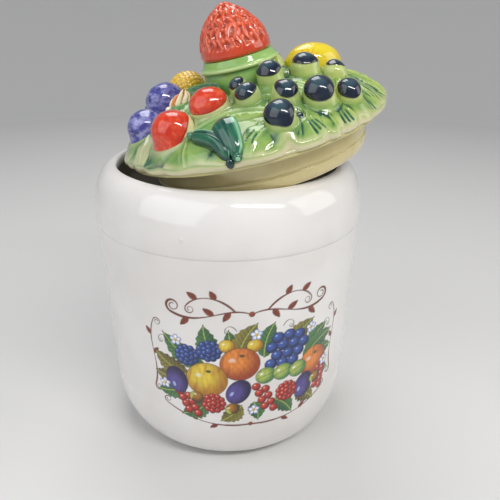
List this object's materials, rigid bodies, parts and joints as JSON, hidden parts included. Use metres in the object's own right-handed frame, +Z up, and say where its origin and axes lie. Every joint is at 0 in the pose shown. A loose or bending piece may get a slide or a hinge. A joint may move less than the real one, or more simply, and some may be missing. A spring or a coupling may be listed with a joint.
{
  "type": "rumtopf pot",
  "caption": "Straight-sided glazed stoneware crock with a rounded shoulder ring, and a fruit-heaped relief lid with a strawberry knob that lies askew on the rim.",
  "frame": {"origin": "centre of the crock's foot ring, on the surface that the crock stands on", "axes": "+Z up along the crock's axis, -Y towards the painted front, +X to the right seen from the front"},
  "size_m": [0.1921, 0.18, 0.2892],
  "materials": {
    "white_glaze": "glossy glaze",
    "cream_glaze": "glossy glaze",
    "leaf_green_glaze": "glossy glaze",
    "collar_green_glaze": "glossy glaze",
    "strawberry_red_glaze": "glossy glaze",
    "cherry_red_glaze": "glossy glaze",
    "plum_blue_glaze": "glossy glaze",
    "blueberry_navy_glaze": "glossy glaze",
    "lemon_yellow_glaze": "glossy glaze",
    "golden_yellow_glaze": "glossy glaze",
    "bud_cream_glaze": "glossy glaze",
    "dark_leaf_glaze": "glossy glaze"
  },
  "bodies": {
    "crock": {"crock": "white_glaze"},
    "lid": {"lid_shell": "cream_glaze", "leaf_mound": "leaf_green_glaze", "knob_collar": "collar_green_glaze", "strawberry_knob": "strawberry_red_glaze", "cherries": "cherry_red_glaze", "plums": "plum_blue_glaze", "blueberries": "blueberry_navy_glaze", "lemon": "lemon_yellow_glaze", "golden_fruit": "golden_yellow_glaze", "blossom_bud": "bud_cream_glaze", "curled_leaves": "dark_leaf_glaze"}
  },
  "joints": [
    {"name": "lid_lift", "type": "slide", "parent": "crock", "child": "lid", "axis": [0, 0, 1], "range_m": [0, 0.12]}
  ]
}
